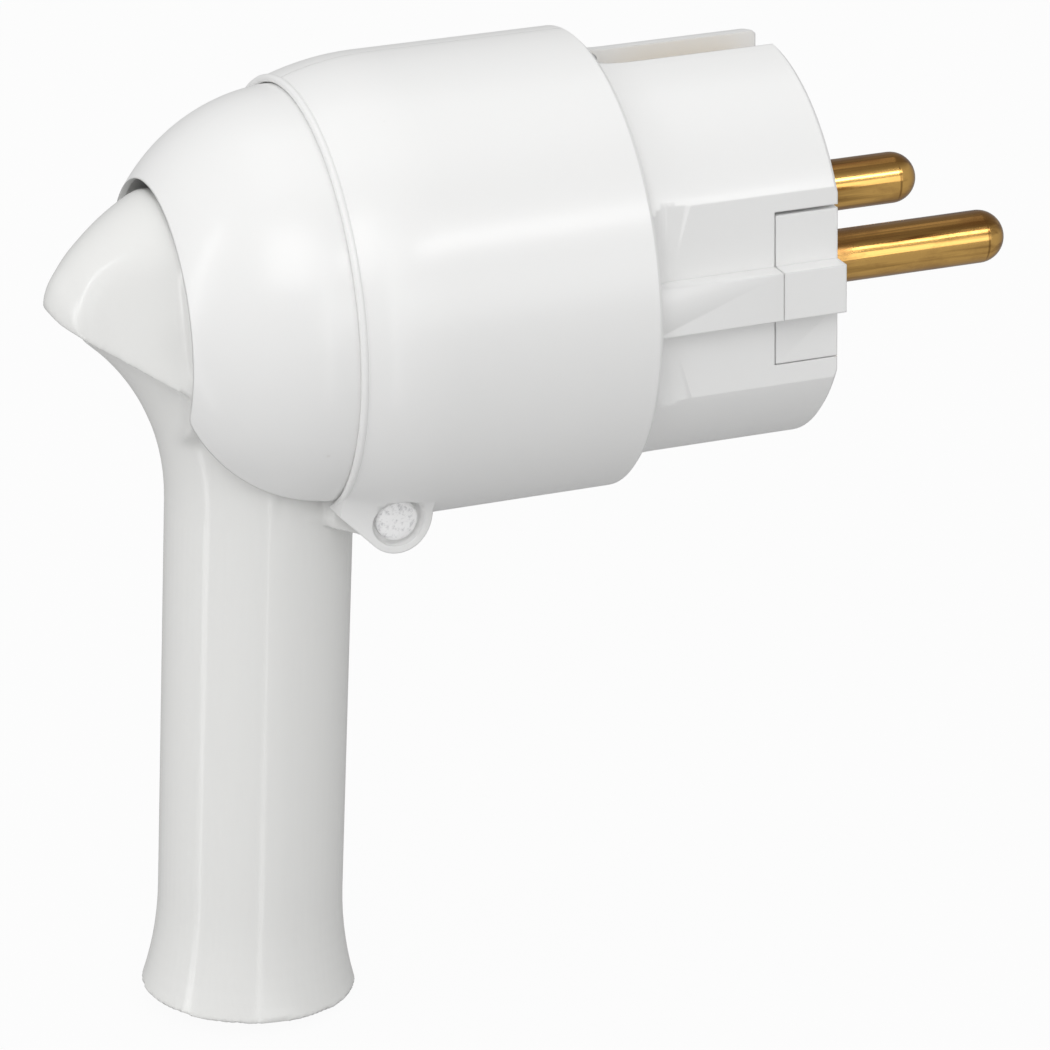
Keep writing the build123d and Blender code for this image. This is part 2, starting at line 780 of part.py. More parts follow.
# The right shell is the larger one; the seam runs past the top, on the left
for name, side in (("collar_shell_right", -1), ("collar_shell_left", 1)):
    with BuildPart() as shell:
        add(collar.part)
        other_half = seam_side - side * (collar_radius - seam_gap / 2)
        with Locations((-(nose_length + collar_rear) / 2, other_half, 0)):
            Box(2 * collar_length, 2 * collar_radius, 3 * collar_radius, mode=Mode.SUBTRACT)
    shell.part.label = name
    export_step(shell.part, f"parts/{name}.step")

# Closing screws of the collar
with BuildPart() as closing_screws:
    for height in (boss_height, -boss_height):
        with BuildSketch(Plane.XZ.offset(-closing_screw_side)):
            with Locations((boss_x, height)):
                Circle(closing_screw_head / 2)
        extrude(amount=-closing_screw_head_height)
        with BuildSketch(Plane.XZ.offset(-closing_screw_side)):
            with Locations((boss_x, height)):
                Circle(closing_screw_diameter / 2)
        extrude(amount=closing_screw_length)
        with BuildSketch(Plane.XZ.offset(-closing_screw_side - closing_screw_head_height)):
            with Locations((boss_x, height)):
                Rectangle(closing_screw_head, driver_slot)
        extrude(amount=driver_slot, mode=Mode.SUBTRACT)
closing_screws.part.label = "closing_screws"
export_step(closing_screws.part, "parts/closing_screws.step")

# Dome: an ellipsoid shell with a skirt, a flange in the collar's groove, and an opening for the lever
with BuildPart() as dome:
    with BuildSketch(Plane.XZ):
        with BuildLine():
            EllipticalCenterArc((dome_centre, 0), dome_axial, dome_radial, 90, arc_size=90)
            Polyline(
                (dome_centre, dome_radial),
                (dome_front - dome_flange_thickness, dome_radial),
                (dome_front - dome_flange_thickness, flange_radius),
                (dome_front, flange_radius),
                (dome_front, dome_radial - dome_wall),
                (dome_centre, dome_radial - dome_wall),
            )
            EllipticalCenterArc(
                (dome_centre, 0), dome_axial - dome_wall, dome_radial - dome_wall, 90, arc_size=90
            )
            Line((dome_centre - dome_axial + dome_wall, 0), (dome_centre - dome_axial, 0))
        make_face()
    revolve(axis=Axis.X)
    # Round opening along X, relieved inside so that the lever's head can swing in
    with BuildSketch(Plane.XZ):
        with BuildLine():
            Polyline(
                (dome_centre - dome_axial, 0),
                (dome_centre - dome_axial, dome_opening),
                (head_rear, dome_opening),
                (head_rear + dome_relief_length, dome_opening + dome_relief_depth),
                (head_rear + dome_relief_length, 0),
                close=True,
            )
        make_face()
    revolve(axis=Axis.X, mode=Mode.SUBTRACT)
    # Slot from the opening down and forward for the lever's neck
    with BuildSketch(Plane.YZ.offset(dome_centre - dome_axial)):
        Circle(dome_opening)
        with Locations((0, -dome_radial)):
            Rectangle(dome_slot_width, 2 * dome_radial)
        fillet(vertices().group_by(Axis.Y)[-1], dome_slot_corner)
    extrude(amount=2 * dome_axial, mode=Mode.SUBTRACT)
dome.part.label = "dome"
export_step(dome.part, "parts/dome.step")

# Ejector: two pads in the nose, their arms, and the crossbar that the lever's fingers push
arm_outer = arm_inner + arm_thickness
with BuildPart() as ejector:
    # The pads carry on the nose's flats, keys and front edge
    with BuildSketch(Plane.YZ):
        Circle(nose_radius)
        Rectangle(2 * flat_half_width, 2 * nose_radius, mode=Mode.INTERSECT)
        Rectangle(2 * key_half_width, key_height)
        Rectangle(2 * pad_inner, 2 * nose_radius, mode=Mode.SUBTRACT)
        Rectangle(2 * nose_radius, 2 * pad_half_height, mode=Mode.INTERSECT)
    extrude(amount=-pad_length)
    pad_fronts = ejector.faces().sort_by(Axis.X).group_by(Axis.X)[-1]
    chamfer(pad_fronts.edges().group_by(SortBy.LENGTH)[-1], nose_edge)
    for side in (1, -1):
        with Locations((-(pad_length + crossbar_rear) / 2, side * (arm_inner + arm_outer) / 2, 0)):
            Box(crossbar_rear - pad_length, arm_thickness, 2 * arm_half_height)
    with Locations((-crossbar_rear + crossbar_thickness / 2, 0, (crossbar_top - arm_half_height) / 2)):
        Box(crossbar_thickness, 2 * arm_outer, crossbar_top + arm_half_height)
ejector.part.label = "ejector"
export_step(ejector.part, "parts/ejector.step")

# Terminal screws: one in each line terminal and one in the earth terminal
with BuildPart() as terminal_screws:
    for side in (1, -1):
        with BuildSketch(Plane.XY.offset(terminal_height / 2)):
            with Locations((-terminal_screw_x, side * pin_spacing / 2)):
                Circle(terminal_screw_diameter / 2)
        extrude(amount=-terminal_screw_depth)
        with BuildSketch(Plane.XY.offset(terminal_height / 2)):
            with Locations((-terminal_screw_x, side * pin_spacing / 2)):
                Circle(terminal_screw_head / 2)
        extrude(amount=terminal_screw_head_height)
        with BuildSketch(Plane.XY.offset(terminal_height / 2 + terminal_screw_head_height)):
            with Locations((-terminal_screw_x, side * pin_spacing / 2)):
                Rectangle(driver_slot, terminal_screw_head)
        extrude(amount=-driver_slot, mode=Mode.SUBTRACT)
    with BuildSketch(Plane.XZ.offset(strap_width / 2 + earth_block_margin)):
        with Locations((earth_screw_x, earth_block_middle)):
            Circle(terminal_screw_diameter / 2)
    extrude(amount=-terminal_screw_depth)
    with BuildSketch(Plane.XZ.offset(strap_width / 2 + earth_block_margin)):
        with Locations((earth_screw_x, earth_block_middle)):
            Circle(terminal_screw_head / 2)
    extrude(amount=terminal_screw_head_height)
    with BuildSketch(Plane.XZ.offset(strap_width / 2 + earth_block_margin + terminal_screw_head_height)):
        with Locations((earth_screw_x, earth_block_middle)):
            Rectangle(driver_slot, terminal_screw_head)
    extrude(amount=-driver_slot, mode=Mode.SUBTRACT)
terminal_screws.part.label = "terminal_screws"
export_step(terminal_screws.part, "parts/terminal_screws.step")

# Earth terminal: a brass block on the back of the strap's bridge
with BuildPart() as earth_terminal:
    with Locations((strap_rear - earth_block_length / 2, 0, earth_block_middle)):
        Box(earth_block_length, strap_width + 2 * earth_block_margin, earth_block_height)
    with BuildSketch(Plane.YZ.offset(strap_rear - earth_block_length)):
        with Locations((0, earth_block_middle)):
            Circle(wire_hole_diameter / 2)
    extrude(amount=wire_hole_depth - terminal_screw_head_height, mode=Mode.SUBTRACT)
    with BuildSketch(Plane.XZ.offset(strap_width / 2 + earth_block_margin)):
        with Locations((earth_screw_x, earth_block_middle)):
            Circle(terminal_screw_diameter / 2)
    extrude(amount=-terminal_screw_depth, mode=Mode.SUBTRACT)
earth_terminal.part.label = "earth_terminal"
export_step(earth_terminal.part, "parts/earth_terminal.step")

# Retainer: the plate that holds the pins and the strap forward against the nose's front wall
retainer_rear = terminal_rear + retainer_thickness
with BuildPart() as terminal_retainer:
    with BuildSketch(Plane.YZ.offset(-terminal_rear)):
        with Locations((0, (retainer_top + retainer_bottom) / 2)):
            RectangleRounded(2 * retainer_half_width, retainer_top - retainer_bottom, post_diameter / 2)
        with Locations((0, earth_block_middle)):
            window_width = strap_width + 2 * earth_block_margin + 2 * screw_clearance
            Rectangle(window_width, earth_block_height + 2 * screw_clearance, mode=Mode.SUBTRACT)
        with Locations((post_side, post_height), (-post_side, post_height)):
            Circle((small_screw_diameter + screw_clearance) / 2, mode=Mode.SUBTRACT)
        with Locations((pin_spacing / 2, 0), (-pin_spacing / 2, 0)):
            Circle((wire_hole_diameter + screw_clearance) / 2, mode=Mode.SUBTRACT)
    extrude(amount=-retainer_thickness)
terminal_retainer.part.label = "terminal_retainer"
export_step(terminal_retainer.part, "parts/terminal_retainer.step")

# Retainer screws, driven from the rear into the nose's posts
with BuildPart() as retainer_screws:
    for side in (1, -1):
        with BuildSketch(Plane.YZ.offset(-retainer_rear)):
            with Locations((side * post_side, post_height)):
                Circle(small_screw_diameter / 2)
        extrude(amount=small_screw_length)
        with BuildSketch(Plane.YZ.offset(-retainer_rear)):
            with Locations((side * post_side, post_height)):
                Circle(small_screw_head / 2)
        extrude(amount=-small_screw_head_height)
        with BuildSketch(Plane.YZ.offset(-retainer_rear - small_screw_head_height)):
            with Locations((side * post_side, post_height)):
                Rectangle(small_screw_head, driver_slot)
        extrude(amount=driver_slot, mode=Mode.SUBTRACT)
retainer_screws.part.label = "retainer_screws"
export_step(retainer_screws.part, "parts/retainer_screws.step")

# Cord clamp: an arched bar that two screws pull up against the shelf
shelf_bottom = shelf_top - shelf_thickness
with BuildPart() as cord_clamp:
    with BuildSketch(Plane.YZ.offset(-clamp_x - clamp_width / 2)):
        with Locations((0, (shelf_bottom + clamp_low) / 2)):
            Rectangle(2 * shelf_half_width, shelf_bottom - clamp_low)
        with Locations((0, shelf_bottom)):
            Circle(clamp_arch_radius, mode=Mode.SUBTRACT)
    extrude(amount=clamp_width)
    with BuildSketch(Plane.XY.offset(shelf_bottom)):
        with Locations((-clamp_x, clamp_screw_side), (-clamp_x, -clamp_screw_side)):
            Circle((clamp_screw_diameter + screw_clearance) / 2)
    extrude(amount=clamp_low - shelf_bottom, mode=Mode.SUBTRACT)
cord_clamp.part.label = "cord_clamp"
export_step(cord_clamp.part, "parts/cord_clamp.step")

# Screws of the cord clamp, driven from below
with BuildPart() as cord_clamp_screws:
    for side in (1, -1):
        with BuildSketch(Plane.XY.offset(clamp_low)):
            with Locations((-clamp_x, side * clamp_screw_side)):
                Circle(clamp_screw_diameter / 2)
        extrude(amount=shelf_top - clamp_low)
        with BuildSketch(Plane.XY.offset(clamp_low)):
            with Locations((-clamp_x, side * clamp_screw_side)):
                Circle(clamp_screw_head / 2)
        extrude(amount=-clamp_screw_head_height)
        with BuildSketch(Plane.XY.offset(clamp_low - clamp_screw_head_height)):
            with Locations((-clamp_x, side * clamp_screw_side)):
                Rectangle(driver_slot, clamp_screw_head)
        extrude(amount=driver_slot, mode=Mode.SUBTRACT)
cord_clamp_screws.part.label = "cord_clamp_screws"
export_step(cord_clamp_screws.part, "parts/cord_clamp_screws.step")
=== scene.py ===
"""Studio scene of an earthed plug with a lever handle, built over its CAD frame.

The CAD solids give every size and place. Each moulding, pin and contact strip that shows is dressed
as one smooth skin made from its own solid, and hidden screws, terminals and clamps keep their
solids. Lengths are in metres, in the frame of the CAD: +X along the pins, +Z up.
"""

import json
import logging
import math
from dataclasses import dataclass, field
from enum import Enum

import bmesh
import bpy
import numpy as np
from mathutils import Matrix, Vector

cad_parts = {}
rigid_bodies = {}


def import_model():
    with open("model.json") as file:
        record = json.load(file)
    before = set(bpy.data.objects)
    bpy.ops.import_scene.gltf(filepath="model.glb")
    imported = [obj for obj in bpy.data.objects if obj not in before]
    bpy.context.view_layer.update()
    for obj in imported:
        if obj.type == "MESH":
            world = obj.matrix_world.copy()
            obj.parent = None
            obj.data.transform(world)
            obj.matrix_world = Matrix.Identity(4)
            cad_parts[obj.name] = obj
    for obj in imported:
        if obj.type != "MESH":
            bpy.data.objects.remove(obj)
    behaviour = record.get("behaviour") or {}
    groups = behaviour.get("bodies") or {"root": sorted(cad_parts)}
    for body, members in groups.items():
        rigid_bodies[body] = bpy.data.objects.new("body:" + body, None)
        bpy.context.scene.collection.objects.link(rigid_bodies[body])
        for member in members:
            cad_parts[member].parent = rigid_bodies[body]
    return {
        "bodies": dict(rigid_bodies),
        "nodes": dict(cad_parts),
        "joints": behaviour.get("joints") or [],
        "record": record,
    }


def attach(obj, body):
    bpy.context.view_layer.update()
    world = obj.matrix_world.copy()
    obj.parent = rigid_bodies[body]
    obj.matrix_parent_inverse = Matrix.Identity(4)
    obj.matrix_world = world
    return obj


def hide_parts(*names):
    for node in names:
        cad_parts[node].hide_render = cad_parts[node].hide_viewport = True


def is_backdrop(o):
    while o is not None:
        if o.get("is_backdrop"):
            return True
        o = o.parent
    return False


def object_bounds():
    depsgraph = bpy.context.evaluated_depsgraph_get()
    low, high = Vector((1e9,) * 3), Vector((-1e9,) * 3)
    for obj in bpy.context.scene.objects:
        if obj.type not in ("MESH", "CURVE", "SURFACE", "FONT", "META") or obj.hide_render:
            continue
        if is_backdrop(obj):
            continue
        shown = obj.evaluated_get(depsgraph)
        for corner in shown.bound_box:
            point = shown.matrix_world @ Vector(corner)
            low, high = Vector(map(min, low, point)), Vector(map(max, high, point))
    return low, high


logging.basicConfig(level=logging.INFO, format="%(message)s")
log = logging.getLogger("plug")

MM = 0.001
WELD_DISTANCE = 0.002 * MM
WHITE = (1.0, 1.0, 1.0, 1.0)
GRAIN_GROUP = "moulded_grain"
STREAK_GROUP = "pin_streaks"


class Body(Enum):
    """The rigid bodies of the frame."""

    PLUG = "plug"
    LEVER = "lever"
    EJECTOR = "ejector"


class Slot(Enum):
    """The material slots of the frame's record."""

    BODY_WHITE = "body_white"
    LEVER_WHITE = "lever_white"
    INNER_WHITE = "inner_white"
    PIN_BRASS = "pin_brass"
    TERMINAL_BRASS = "terminal_brass"
    STEEL = "steel"
    HINGE_STEEL = "hinge_steel"


def ramp(value: np.ndarray, start: float, end: float) -> np.ndarray:
    """Rise evenly from 0 to 1 between two limits.

    Args:
        value: The numbers to look at.
        start: Where the rise starts.
        end: Where it ends, which may lie below its start.

    Returns:
        Numbers from 0 to 1.
    """
    return np.clip((value - start) / (end - start), 0.0, 1.0)


def read_points(mesh: bpy.types.Mesh) -> np.ndarray:
    """Read the places of a mesh's vertices.

    Args:
        mesh: The mesh.

    Returns:
        One row for each vertex.
    """
    flat = np.empty(len(mesh.vertices) * 3)
    mesh.vertices.foreach_get("co", flat)
    return flat.reshape(-1, 3)


def write_points(mesh: bpy.types.Mesh, points: np.ndarray) -> None:
    """Move a mesh's vertices.

    Args:
        mesh: The mesh.
        points: One row for each vertex.
    """
    mesh.vertices.foreach_set("co", points.ravel())
    mesh.update()


def add_object(name: str, data: bpy.types.ID) -> bpy.types.Object:
    """Put a new object into the scene.

    Args:
        name: The object's name.
        data: Its mesh, lamp or camera.

    Returns:
        The object.
    """
    piece = bpy.data.objects.new(name, data)
    bpy.context.scene.collection.objects.link(piece)
    return piece


@dataclass(frozen=True)
class Graph:
    """Adds nodes to one shader tree and fills their inputs."""

    tree: bpy.types.NodeTree

    def fill(self, node: bpy.types.Node, inputs: dict[str | int, object]) -> None:
        """Fill inputs of a node.

        Args:
            node: The node.
            inputs: For each input's name or number, an output to link or a value to set.
        """
        for label, value in inputs.items():
            if isinstance(value, bpy.types.NodeSocket):
                self.tree.links.new(value, node.inputs[label])
            else:
                node.inputs[label].default_value = value

    def add(
        self, kind: str, inputs: dict[str | int, object] | None = None, **options: object
    ) -> bpy.types.Node:
        """Add a node.

        Args:
            kind: The node's type.
            inputs: What goes into its inputs.
            options: Settings of the node itself, such as its operation.

        Returns:
            The node.
        """
        node = self.tree.nodes.new(kind)
        for label, value in options.items():
            setattr(node, label, value)
        self.fill(node, inputs or {})
        return node

    def place(self) -> bpy.types.NodeSocket:
        """Add the place in the object's own coordinates."""
        return self.add("ShaderNodeTexCoord").outputs["Object"]

    def group(self, name: str, inputs: dict[str | int, object] | None = None) -> bpy.types.Node:
        """Add a use of a shared group.

        Args:
            name: The group's name.
            inputs: What goes into its inputs.

        Returns:
            The node that holds the group.
        """
        return self.add("ShaderNodeGroup", inputs, node_tree=bpy.data.node_groups[name])

    def maths(self, operation: str, *values: object) -> bpy.types.NodeSocket:
        """Add a sum.

        Args:
            operation: The sum's kind.
            values: What it works on, in order.

        Returns:
            The result.
        """
        return self.add("ShaderNodeMath", dict(enumerate(values)), operation=operation).outputs[0]

    def ramp(
        self,
        value: bpy.types.NodeSocket,
        low: float,
        high: float,
        top: float = 1.0,
        kind: str = "LINEAR",
    ) -> bpy.types.NodeSocket:
        """Add a rise from 0 between two limits.

        Args:
            value: The output to look at.
            low: Where the rise starts.
            high: Where it ends.
            top: What it rises to.
            kind: How it rises.

        Returns:
            The result.
        """
        inputs = {"Value": value, "From Min": low, "From Max": high, "To Max": top}
        return self.add("ShaderNodeMapRange", inputs, interpolation_type=kind).outputs["Result"]

    def blend(self, first: object, second: object, share: object) -> bpy.types.NodeSocket:
        """Add a mix of two colours.

        Args:
            first: A colour, or the output of one.
            second: A colour, or the output of one.
            share: How much of the second colour shows.

        Returns:
            The mixed colour.
        """
        first, second = (
            (*colour, 1.0) if isinstance(colour, tuple) else colour for colour in (first, second)
        )
        inputs = {"A": first, "B": second, "Factor": share}
        return self.add("ShaderNodeMix", inputs, data_type="RGBA").outputs["Result"]

    def bump(
        self, height: bpy.types.NodeSocket, strength: float, distance: float, **inputs: object
    ) -> bpy.types.NodeSocket:
        """Add a bump.

        Args:
            height: The output that gives its height.
            strength: How strongly it shows.
            distance: Its full height in metres.
            inputs: Other inputs of the node.

        Returns:
            The surface's new direction.
        """
        inputs = {"Height": height, "Strength": strength, "Distance": distance, **inputs}
        return self.add("ShaderNodeBump", inputs).outputs["Normal"]


@dataclass(frozen=True)
class Effect:
    """A shared shader group, whose inputs and outputs are numbers."""

    name: str
    outputs: tuple[str, ...]
    inputs: dict[str, float]

    def start(self) -> tuple[Graph, bpy.types.Node, bpy.types.Node]:
        """Make the group with its sockets.

        Returns:
            The group's graph, its input node and its output node.
        """
        tree = bpy.data.node_groups.new(self.name, "ShaderNodeTree")
        for label in self.outputs:
            tree.interface.new_socket(label, in_out="OUTPUT", socket_type="NodeSocketFloat")
        for label, value in self.inputs.items():
            socket = tree.interface.new_socket(
                label, in_out="INPUT", socket_type="NodeSocketFloat"
            )
            socket.default_value = value
        graph = Graph(tree)
        return graph, graph.add("NodeGroupInput"), graph.add("NodeGroupOutput")


@dataclass(frozen=True)
class MouldedGrain(Effect):
    """The fine grain of a moulded surface: a height, a roughness and a mask of rare dark specks."""

    name: str = GRAIN_GROUP
    outputs: tuple[str, ...] = ("Height", "Roughness", "Specks")
    inputs: dict[str, float] = field(
        default_factory=lambda: {"Fineness": 900.0, "Base": 0.3, "Spread": 0.06}
    )
    fine_detail: float = 3.0
    broad_scale: float = 70.0
    broad_detail: float = 4.0
    middle: float = 0.5
    speck_scale: float = 110.0
    speck_rim: float = 0.045
    speck_core: float = 0.02

    def build(self) -> None:
        """Make the group."""
        graph, source, result = self.start()
        place = graph.place()
        fine = graph.add(
            "ShaderNodeTexNoise",
            {"Vector": place, "Scale": source.outputs["Fineness"], "Detail": self.fine_detail},
        )
        broad = graph.add(
            "ShaderNodeTexNoise",
            {"Vector": place, "Scale": self.broad_scale, "Detail": self.broad_detail},
        )
        centred = graph.maths("SUBTRACT", broad.outputs["Fac"], self.middle)
        dots = graph.add("ShaderNodeTexVoronoi", {"Vector": place, "Scale": self.speck_scale})
        graph.fill(
            result,
            {
                "Height": fine.outputs["Fac"],
                "Roughness": graph.maths(
                    "MULTIPLY_ADD", centred, source.outputs["Spread"], source.outputs["Base"]
                ),
                "Specks": graph.ramp(dots.outputs["Distance"], self.speck_rim, self.speck_core),
            },
        )


@dataclass(frozen=True)
class Streak:
    """One noise along the pins: how much it is drawn out, and which part of it shows."""

    label: str
    stretch: tuple[float, float, float]
    low: float
    high: float
    detail: float


@dataclass(frozen=True)
class PinStreaks(Effect):
    """Streaks along X, as tarnishing and drawing marks leave them, and a ring of painted shade at the
    groove before the tip.
    """

    name: str = STREAK_GROUP
    outputs: tuple[str, ...] = ("Bands", "Blotches", "Height", "Ring")
    inputs: dict[str, float] = field(
        default_factory=lambda: {"Width": 1.0, "Ring Place": 16.75 * MM}
    )
    streaks: tuple[Streak, ...] = (
        Streak("Bands", (22.0, 520.0, 520.0), 0.46, 0.62, 5.0),
        Streak("Blotches", (160.0, 300.0, 300.0), 0.5, 0.72, 6.0),
        Streak("Height", (60.0, 2600.0, 2600.0), 0.0, 1.0, 3.0),
    )
    noise_roughness: float = 0.6
    # The ring of painted shade at the tip's groove: its width and strength.
    ring_rim: float = 0.16 * MM
    ring_core: float = 0.04 * MM
    ring_strength: float = 0.6

    def build(self) -> None:
        """Make the group."""
        graph, source, result = self.start()
        place = graph.place()
        for streak in self.streaks:
            drawn = graph.add("ShaderNodeMapping", {"Vector": place, "Scale": streak.stretch})
            noise = graph.add(
                "ShaderNodeTexNoise",
                {
                    "Vector": drawn.outputs["Vector"],
                    "Scale": source.outputs["Width"],
                    "Detail": streak.detail,
                    "Roughness": self.noise_roughness,
                },
            )
            mask = graph.ramp(noise.outputs["Fac"], streak.low, streak.high)
            graph.fill(result, {streak.label: mask})
        # Painted shade: a thin dark ring across the pin at the groove before its tip.
        split = graph.add("ShaderNodeSeparateXYZ", {0: place})
        along = graph.maths("SUBTRACT", split.outputs["X"], source.outputs["Ring Place"])
        reach = graph.maths("ABSOLUTE", along)
        ring = graph.ramp(reach, self.ring_rim, self.ring_core, top=self.ring_strength)
        graph.fill(result, {"Ring": ring})


@dataclass(frozen=True)
class Finish:
    """A finish of one material slot: its colour and how it shines."""

    name: str
    colour: tuple[float, float, float]
    roughness: float

    def start(self) -> tuple[bpy.types.Material, Graph, bpy.types.Node]:
        """Make an empty material with a shader in it.

        Returns:
            The material, its graph and its Principled shader.
        """
        material = bpy.data.materials.new(self.name)
        material.use_nodes = True
        shader = material.node_tree.nodes["Principled BSDF"]
        shader.inputs["Base Color"].default_value = (*self.colour, 1.0)
        shader.inputs["Roughness"].default_value = self.roughness
        return material, Graph(material.node_tree), shader

    def build(self) -> bpy.types.Material:
        """Make the material."""
        return self.start()[0]


@dataclass(frozen=True)
class MouldedPlastic(Finish):
    """Injection-moulded plastic with rounded edges, a faint grain and rare specks of dust."""

    coat: float = 0.15
    coat_roughness: float = 0.12
    grain_strength: float = 0.25
    grain_height: float = 0.01 * MM
    speck_colour: tuple[float, float, float] = (0.35, 0.3, 0.24)
    speck_strength: float = 0.35
    edge_radius: float = 0.22 * MM
    edge_samples: int = 6

    def build(self) -> bpy.types.Material:
        """Make the material."""
        material, graph, shader = self.start()
        grain = graph.group(GRAIN_GROUP, {"Base": self.roughness})
        edge = graph.add(
            "ShaderNodeBevel", {"Radius": self.edge_radius}, samples=self.edge_samples
        )
        specks = graph.maths("MULTIPLY", grain.outputs["Specks"], self.speck_strength)
        graph.fill(
            shader,
            {
                "Base Color": graph.blend(self.colour, self.speck_colour, specks),
                "Roughness": grain.outputs["Roughness"],
                "Coat Weight": self.coat,
                "Coat Roughness": self.coat_roughness,
                "Normal": graph.bump(
                    grain.outputs["Height"],
                    self.grain_strength,
                    self.grain_height,
                    Normal=edge.outputs["Normal"],
                ),
            },
        )
        return material


@dataclass(frozen=True)
class TarnishedBrass(Finish):
    """Brass that has gone brown in bands along its length, with painted shade on its top, towards its
    rims and in a ring before its tip.
    """

    # Dark brown: the colour of the brown bands and also of the painted shade on the rims, the top and
    # the tip's ring.
    tarnish_and_shade: tuple[float, float, float] = (0.15, 0.055, 0.012)
    blotch: tuple[float, float, float] = (0.55, 0.3, 0.1)
    band_strength: float = 0.92
    # Painted shade towards the rims: its balance, where it starts and how strong it is.
    shade_rim_balance: float = 0.5
    shade_rim_start: float = 0.25
    shade_rim_strength: float = 0.85
    # Painted shade on the pins' tops: the heights where it starts and ends, and its strength.
    shade_top_start: float = 1.1 * MM
    shade_top_end: float = 1.9 * MM
    shade_top_strength: float = 0.75
    blotch_roughness: float = 0.16
    mark_strength: float = 0.35
    mark_height: float = 0.02 * MM

    def build(self) -> bpy.types.Material:
        """Make the material."""
        material, graph, shader = self.start()
        streaks = graph.group(STREAK_GROUP).outputs
        warm = graph.blend(self.colour, self.blotch, streaks["Blotches"])
        bands = graph.maths("MULTIPLY", streaks["Bands"], self.band_strength)
        banded = graph.blend(warm, self.tarnish_and_shade, bands)
        # Painted shade: towards grazing angles the colour turns dark brown, standing in for the dark
        # surroundings that the pins' rims reflect.
        facing = graph.add("ShaderNodeLayerWeight", {"Blend": self.shade_rim_balance})
        rim = graph.ramp(
            facing.outputs["Facing"], self.shade_rim_start, 1.0, self.shade_rim_strength, "SMOOTHSTEP"
        )
        # Painted shade: above a height in the pin's own coordinates the colour turns dark, standing
        # in for the dark reflection on the pins' tops.
        split = graph.add("ShaderNodeSeparateXYZ", {"Vector": graph.place()})
        top = graph.ramp(
            split.outputs["Z"], self.shade_top_start, self.shade_top_end, self.shade_top_strength, "SMOOTHSTEP"
        )
        # Painted shade: the rims, the top and the tip's ring, joined into one mask and painted in the
        # dark brown.
        painted_shade = graph.maths("MAXIMUM", graph.maths("MAXIMUM", rim, top), streaks["Ring"])
        graph.fill(
            shader,
            {
                "Base Color": graph.blend(banded, self.tarnish_and_shade, painted_shade),
                "Metallic": 1.0,
                "Roughness": graph.maths(
                    "MULTIPLY_ADD", streaks["Blotches"], self.blotch_roughness, self.roughness
                ),
                "Normal": graph.bump(streaks["Height"], self.mark_strength, self.mark_height),
            },
        )
        return material


@dataclass(frozen=True)
class ScuffedSteel(Finish):
    """Bright steel with dull scuffs, as on a pressed-in pin's end."""

    dull: tuple[float, float, float] = (0.62, 0.62, 0.63)
    metallic: float = 0.08
    scuff_scale: float = 2200.0
    scuff_detail: float = 6.0
    scuff_roughness: float = 0.7
    dull_below: float = 0.3
    bright_above: float = 0.5
    scuff_strength: float = 0.6
    scuff_height: float = 0.06 * MM

    def build(self) -> bpy.types.Material:
        """Make the material."""
        material, graph, shader = self.start()
        scuffs = graph.add(
            "ShaderNodeTexNoise",
            {
                "Vector": graph.place(),
                "Scale": self.scuff_scale,
                "Detail": self.scuff_detail,
                "Roughness": self.scuff_roughness,
            },
        ).outputs["Fac"]
        bright = graph.ramp(scuffs, self.dull_below, self.bright_above)
        graph.fill(
            shader,
            {
                "Base Color": graph.blend(self.dull, self.colour, bright),
                "Metallic": self.metallic,
                "Normal": graph.bump(scuffs, self.scuff_strength, self.scuff_height),
            },
        )
        return material


@dataclass(frozen=True)
class PlainMetal(Finish):
    """Clean metal of a hidden screw or terminal."""

    def build(self) -> bpy.types.Material:
        """Make the material."""
        material, _, shader = self.start()
        shader.inputs["Metallic"].default_value = 1.0
        return material


FINISHES = {
    Slot.BODY_WHITE: MouldedPlastic("body_white", (0.875, 0.875, 0.868), 0.3),
    Slot.LEVER_WHITE: MouldedPlastic("lever_white", (0.83, 0.83, 0.815), 0.24, coat=0.25),
    Slot.INNER_WHITE: MouldedPlastic("inner_white", (0.74, 0.74, 0.72), 0.5),
    Slot.PIN_BRASS: TarnishedBrass("pin_brass", (1.0, 0.6, 0.18), 0.17),
    Slot.TERMINAL_BRASS: PlainMetal("terminal_brass", (0.75, 0.55, 0.25), 0.3),
    Slot.STEEL: PlainMetal("steel", (0.62, 0.62, 0.63), 0.3),
    Slot.HINGE_STEEL: ScuffedSteel("hinge_steel", (1.0, 1.0, 1.0), 0.3),
}


@dataclass
class Wardrobe:
    """Holds each slot's material, made once."""

    materials: dict[Slot, bpy.types.Material] = field(default_factory=dict)

    def __post_init__(self) -> None:
        """Make the shared groups and all the materials."""
        MouldedGrain().build()
        PinStreaks().build()
        for slot, finish in FINISHES.items():
            self.materials[slot] = finish.build()

    def dress(self, piece: bpy.types.Object, slot: Slot) -> None:
        """Give a piece the one material of a slot.

        Args:
            piece: The object to dress.
            slot: The slot whose finish it takes.
        """
        piece.data.materials.clear()
        piece.data.materials.append(self.materials[slot])


